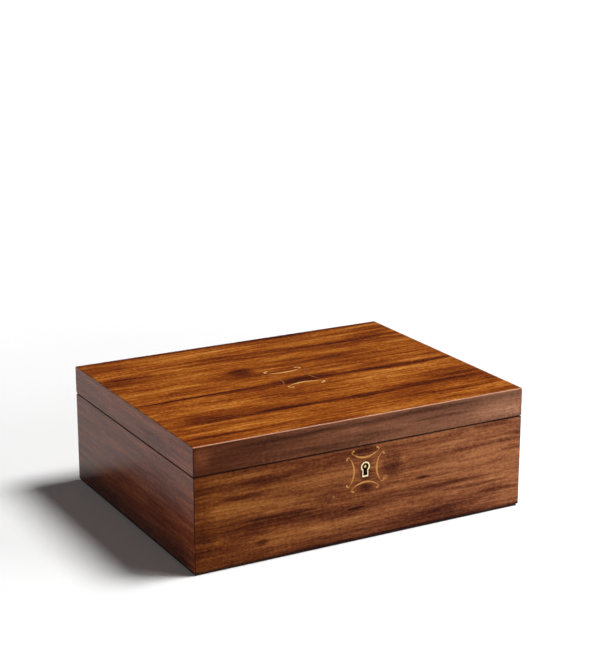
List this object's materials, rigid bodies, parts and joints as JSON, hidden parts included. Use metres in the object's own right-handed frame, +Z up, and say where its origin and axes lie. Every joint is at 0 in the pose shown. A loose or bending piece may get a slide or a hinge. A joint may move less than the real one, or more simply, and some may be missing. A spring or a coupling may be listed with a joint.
{
  "type": "musical jewelry box",
  "caption": "Rectangular veneered musical jewelry box with a hinged lid, inlaid scrolls, a keyhole lock, a lined tray and a musical movement.",
  "frame": {"origin": "on the ground under the middle of the box", "axes": "+X to the right seen from the front, the front with the keyhole faces -Y, +Z up"},
  "size_m": [0.342, 0.266, 0.118],
  "materials": {
    "case_veneer": "satin lacquered figured veneer",
    "lid_veneer": "satin lacquered figured veneer",
    "plain_wood": "bare plywood and pale wood",
    "inlay": "lacquered boxwood",
    "felt": "brown felt",
    "suede": "champagne microsuede",
    "ribbon": "grosgrain ribbon",
    "polished_brass": "polished",
    "bolt_steel": "brushed",
    "spring_steel": "tempered",
    "cast_bedplate": "gold bronze paint on a zinc casting",
    "mirror_glass": "silvered glass",
    "clear_glass": "clear"
  },
  "bodies": {
    "case": {"case_front_panel": "case_veneer", "case_back_panel": "case_veneer", "case_left_panel": "case_veneer", "case_right_panel": "case_veneer", "bottom_board": "plain_wood", "base_felt_strips": "felt", "front_scroll_inlay": "inlay", "keyhole_escutcheon": "polished_brass", "lock_case": "polished_brass", "lock_cover_plate": "polished_brass", "lock_drill_pin": "polished_brass", "lock_detent_spring": "spring_steel", "case_brass_screws": "polished_brass", "hinge_lower_leaves": "polished_brass", "hinge_pins": "polished_brass", "case_wall_lining": "suede", "long_partition": "suede", "cross_partition": "suede", "ledge_strips": "suede", "floor_pads": "suede", "tray_base": "suede", "tray_rim": "suede", "tray_dividers": "suede", "ring_rolls": "suede", "tray_pads": "suede", "tray_pull_tabs": "ribbon", "movement_cover_frame": "plain_wood", "movement_cover_glass": "clear_glass", "movement_bedplate": "cast_bedplate", "cylinder_brackets": "polished_brass", "spring_housing": "polished_brass", "mainspring": "spring_steel", "comb_base": "cast_bedplate", "music_comb": "bolt_steel", "governor_bracket": "polished_brass", "movement_screws": "bolt_steel", "stop_guide_post": "polished_brass"},
    "lid": {"lid_front_rail": "lid_veneer", "lid_back_rail": "lid_veneer", "lid_left_rail": "lid_veneer", "lid_right_rail": "lid_veneer", "lid_top_board": "plain_wood", "lid_top_veneer": "lid_veneer", "lid_scroll_inlay": "inlay", "lid_lining_panel": "suede", "lid_mirror": "mirror_glass", "mirror_frame": "suede", "stop_block": "suede", "lock_strike_plate": "polished_brass", "lid_brass_screws": "polished_brass", "hinge_upper_leaves": "polished_brass"},
    "lock_bolt": {"lock_bolt": "bolt_steel"},
    "winding_shaft": {"winding_arbor": "bolt_steel", "winding_key": "polished_brass"},
    "cylinder": {"music_cylinder": "polished_brass", "cylinder_arbor": "bolt_steel"},
    "governor": {"governor_arbor": "polished_brass"},
    "fan": {"air_fan": "polished_brass"},
    "plunger": {"stop_plunger": "polished_brass"}
  },
  "joints": [
    {"name": "lid_hinge", "type": "hinge", "parent": "case", "child": "lid", "pos_m": [0, 0.1314, 0.0907], "axis": [-1, 0, 0], "range_deg": [0, 94]},
    {"name": "lock_bolt_slide", "type": "slide", "parent": "case", "child": "lock_bolt", "axis": [1, 0, 0], "range_m": [0, 0.004]},
    {"name": "cylinder_turn", "type": "hinge", "parent": "case", "child": "cylinder", "pos_m": [0.097, 0.085, 0.0415], "axis": [1, 0, 0], "continuous": true},
    {"name": "winding_turn", "type": "hinge", "parent": "case", "child": "winding_shaft", "pos_m": [0.066, 0.085, 0.02], "axis": [0, 0, 1], "continuous": true},
    {"name": "governor_turn", "type": "hinge", "parent": "case", "child": "governor", "pos_m": [0.118, 0.096, 0.0415], "axis": [1, 0, 0], "continuous": true},
    {"name": "fan_turn", "type": "hinge", "parent": "case", "child": "fan", "pos_m": [0.1202, 0.1032, 0.045], "axis": [0, 0, 1], "continuous": true},
    {"name": "plunger_slide", "type": "slide", "parent": "case", "child": "plunger", "axis": [0, 0, 1], "range_m": [0, 0.004]}
  ],
  "couplings": [
    {"joint": "winding_turn", "follows": "cylinder_turn", "ratio": 0.625},
    {"joint": "governor_turn", "follows": "cylinder_turn", "ratio": -4.5},
    {"joint": "fan_turn", "follows": "cylinder_turn", "ratio": 81},
    {"joint": "plunger_slide", "follows": "lid_hinge", "m_per_rad": 0.0024381}
  ]
}
